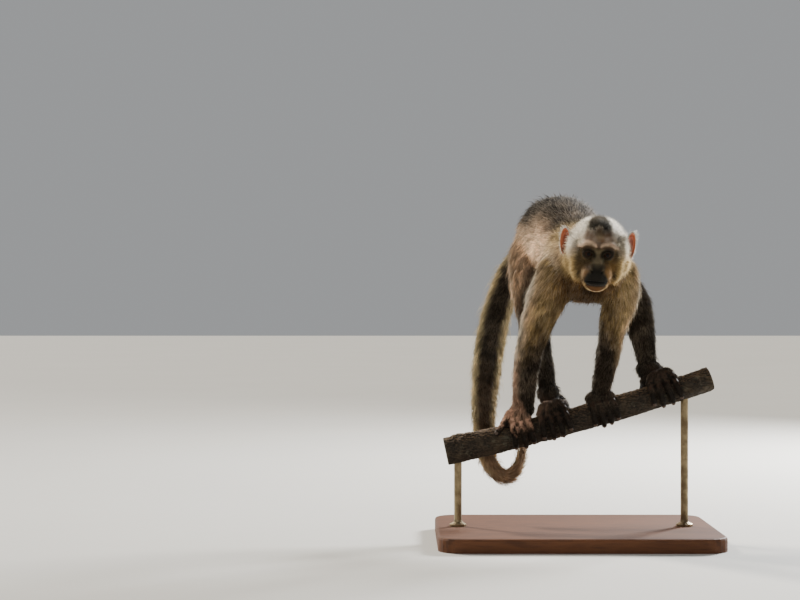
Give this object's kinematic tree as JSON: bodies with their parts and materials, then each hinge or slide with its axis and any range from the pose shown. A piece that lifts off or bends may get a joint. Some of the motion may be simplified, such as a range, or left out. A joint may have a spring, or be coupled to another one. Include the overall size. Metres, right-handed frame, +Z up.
{
  "type": "white-fronted capuchin monkey model",
  "caption": "Life-size still model of a white-fronted capuchin monkey standing on all fours across a cut branch, held on a plain display stand.",
  "frame": {"origin": "middle of the underside of the stand's base plate, on the surface it stands on", "axes": "+Z up; -Y the way the animal faces; +X to the animal's own left, along the perch; the part is still and has no joints"},
  "size_m": [0.3609, 0.4001, 0.4522],
  "materials": {
    "coat_brown": "greyish brown fur with paler tips",
    "coat_pale": "cream to pale buff fur",
    "coat_dark": "dark brown fur",
    "bare_skin": "dark bare skin with short hair on top",
    "ear_skin": "thin pink-orange skin",
    "eye": "wet dark brown",
    "bark": "rough grey-brown bark",
    "stand_wood": "satin dark wood",
    "stand_metal": "satin metal"
  },
  "bodies": {
    "root": {"head": "coat_pale", "ear_left": "ear_skin", "ear_right": "ear_skin", "eye_left": "eye", "eye_right": "eye", "neck": "coat_pale", "trunk": "coat_brown", "upper_arm_left": "coat_pale", "upper_arm_right": "coat_pale", "forearm_left": "coat_dark", "forearm_right": "coat_dark", "hand_left": "bare_skin", "hand_right": "bare_skin", "thigh_left": "coat_brown", "thigh_right": "coat_brown", "shank_left": "coat_dark", "shank_right": "coat_dark", "foot_left": "bare_skin", "foot_right": "bare_skin", "tail_root": "coat_dark", "tail_upper": "coat_dark", "tail_middle": "coat_dark", "tail_lower": "coat_dark", "tail_tip": "coat_dark", "perch_branch": "bark", "stand_base": "stand_wood", "stand_rod_left": "stand_metal", "stand_rod_right": "stand_metal"}
  },
  "joints": []
}
